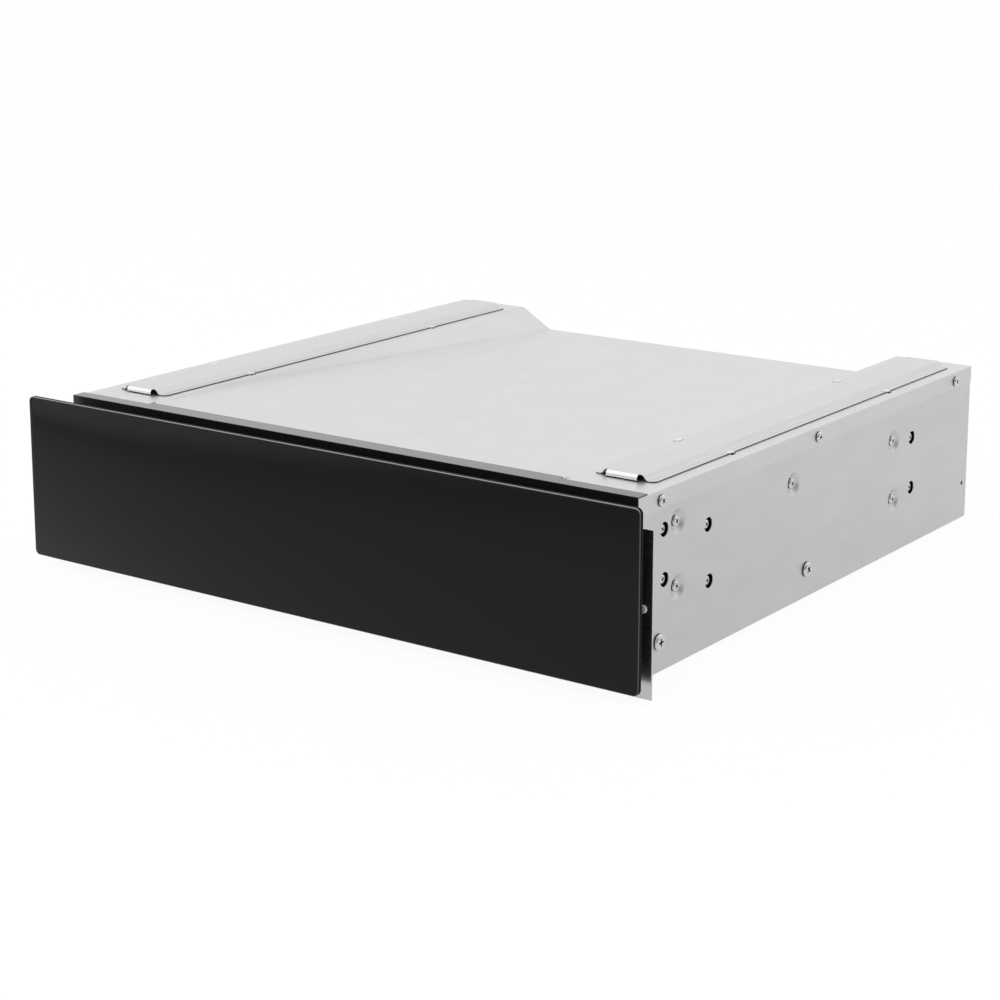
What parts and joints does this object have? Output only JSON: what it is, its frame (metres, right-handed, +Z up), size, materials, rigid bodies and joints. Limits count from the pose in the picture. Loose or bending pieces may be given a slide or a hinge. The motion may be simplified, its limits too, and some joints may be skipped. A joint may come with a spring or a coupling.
{
  "type": "built-in warming drawer",
  "caption": "Built-in warming drawer: flat sheet-steel niche housing under an oven, full-width glass front, sliding tray on ball runners and a fan heater behind it.",
  "frame": {"origin": "centre of the housing's underside: midway between the side sheets, and midway between the front flanges and the cover's rear flange", "axes": "+X to the right seen from the front, along the wide front; +Y to the back, so the drawer opens towards -Y; +Z up"},
  "size_m": [0.595, 0.5762, 0.1451],
  "materials": {
    "galvanised_sheet": "galvanised, satin",
    "rail_steel": "galvanised, satin",
    "trim_black": "black powder coat, satin",
    "bracket_black": "black e-coat",
    "carrier_zinc": "bright zinc plated",
    "cage_steel": "zinc plated strip",
    "ball_steel": "polished",
    "screw_zinc": "bright zinc plated",
    "buffer_rubber": "matte",
    "heater_sheath": "oxidised stainless tube",
    "motor_steel": "laminated electrical steel",
    "rotor_steel": "turned",
    "impeller_aluminium": "pressed",
    "limiter_ceramic": "glazed",
    "terminal_plastic": "moulded",
    "gland_plastic": "moulded",
    "loom_sheath": "heat-proof sleeve",
    "board_laminate": "glass-epoxy laminate",
    "lead_insulation": "silicone insulation",
    "selector_plastic": "moulded",
    "shaft_steel": "turned",
    "knob_plastic": "moulded, fine grain",
    "switch_plastic": "moulded",
    "rocker_plastic": "moulded",
    "lamp_lens": "translucent",
    "tray_steel": "stainless, satin",
    "mat_rubber": "matte, ribbed",
    "plate_steel": "stainless, brushed across",
    "front_glass_black": "tempered, printed black on the back"
  },
  "bodies": {
    "housing": {"housing_base": "galvanised_sheet", "housing_side_left": "galvanised_sheet", "housing_side_right": "galvanised_sheet", "housing_back": "galvanised_sheet", "housing_top": "galvanised_sheet", "front_trim": "trim_black", "oven_rail_left": "rail_steel", "oven_rail_right": "rail_steel", "inner_roof": "galvanised_sheet", "rear_partition": "galvanised_sheet", "runner_bracket_left": "bracket_black", "runner_bracket_right": "bracket_black", "runner_carrier_left": "carrier_zinc", "runner_carrier_right": "carrier_zinc", "runner_outer_left": "carrier_zinc", "runner_outer_right": "carrier_zinc", "cover_screws": "screw_zinc", "base_screws": "screw_zinc", "bracket_screws": "screw_zinc", "carrier_screws": "screw_zinc", "stop_buffers": "buffer_rubber", "heater_element": "heater_sheath", "fan_housing": "galvanised_sheet", "fan_motor": "motor_steel", "temperature_limiter": "limiter_ceramic", "terminal_block": "terminal_plastic", "cable_gland": "gland_plastic", "wire_loom": "loom_sheath", "loom_clips": "terminal_plastic", "control_board": "board_laminate", "control_leads": "lead_insulation", "selector_body": "selector_plastic", "switch_body": "switch_plastic", "pilot_lamp": "lamp_lens"},
    "drawer": {"tray": "tray_steel", "tray_mat": "mat_rubber", "front_plate": "plate_steel", "plate_rivets": "screw_zinc", "glass_brackets": "bracket_black", "front_glass": "front_glass_black", "tray_screws": "screw_zinc", "runner_inner_left": "carrier_zinc", "runner_inner_right": "carrier_zinc"},
    "runner_middle_left": {"runner_middle_left": "carrier_zinc"},
    "outer_cage_left": {"outer_cage_left": "cage_steel", "outer_balls_left": "ball_steel"},
    "inner_cage_left": {"inner_cage_left": "cage_steel", "inner_balls_left": "ball_steel"},
    "runner_middle_right": {"runner_middle_right": "carrier_zinc"},
    "outer_cage_right": {"outer_cage_right": "cage_steel", "outer_balls_right": "ball_steel"},
    "inner_cage_right": {"inner_cage_right": "cage_steel", "inner_balls_right": "ball_steel"},
    "fan": {"fan_impeller": "impeller_aluminium", "fan_rotor": "rotor_steel"},
    "knob": {"temperature_knob": "knob_plastic", "selector_shaft": "shaft_steel"},
    "rocker": {"switch_rocker": "rocker_plastic"}
  },
  "joints": [
    {"name": "drawer_slide", "type": "slide", "parent": "housing", "child": "drawer", "axis": [0, -1, 0], "range_m": [0, 0.4]},
    {"name": "runner_middle_left_slide", "type": "slide", "parent": "housing", "child": "runner_middle_left", "axis": [0, -1, 0], "range_m": [0, 0.2]},
    {"name": "outer_cage_left_slide", "type": "slide", "parent": "housing", "child": "outer_cage_left", "axis": [0, -1, 0], "range_m": [0, 0.1]},
    {"name": "inner_cage_left_slide", "type": "slide", "parent": "housing", "child": "inner_cage_left", "axis": [0, -1, 0], "range_m": [0, 0.3]},
    {"name": "runner_middle_right_slide", "type": "slide", "parent": "housing", "child": "runner_middle_right", "axis": [0, -1, 0], "range_m": [0, 0.2]},
    {"name": "outer_cage_right_slide", "type": "slide", "parent": "housing", "child": "outer_cage_right", "axis": [0, -1, 0], "range_m": [0, 0.1]},
    {"name": "inner_cage_right_slide", "type": "slide", "parent": "housing", "child": "inner_cage_right", "axis": [0, -1, 0], "range_m": [0, 0.3]},
    {"name": "fan_spin", "type": "hinge", "parent": "housing", "child": "fan", "pos_m": [-0.03, 0.2422, 0.04], "axis": [1, 0, 0], "continuous": true},
    {"name": "knob_turn", "type": "hinge", "parent": "housing", "child": "knob", "pos_m": [0.15, -0.2718, 0.12526], "axis": [0, 1, 0], "range_deg": [0, 270]},
    {"name": "rocker_tilt", "type": "hinge", "parent": "housing", "child": "rocker", "pos_m": [0.205, -0.2706, 0.12526], "axis": [1, 0, 0], "range_deg": [-14, 0]}
  ],
  "couplings": [
    {"joint": "runner_middle_left_slide", "follows": "drawer_slide", "ratio": 0.5},
    {"joint": "outer_cage_left_slide", "follows": "drawer_slide", "ratio": 0.25},
    {"joint": "inner_cage_left_slide", "follows": "drawer_slide", "ratio": 0.75},
    {"joint": "runner_middle_right_slide", "follows": "drawer_slide", "ratio": 0.5},
    {"joint": "outer_cage_right_slide", "follows": "drawer_slide", "ratio": 0.25},
    {"joint": "inner_cage_right_slide", "follows": "drawer_slide", "ratio": 0.75}
  ]
}
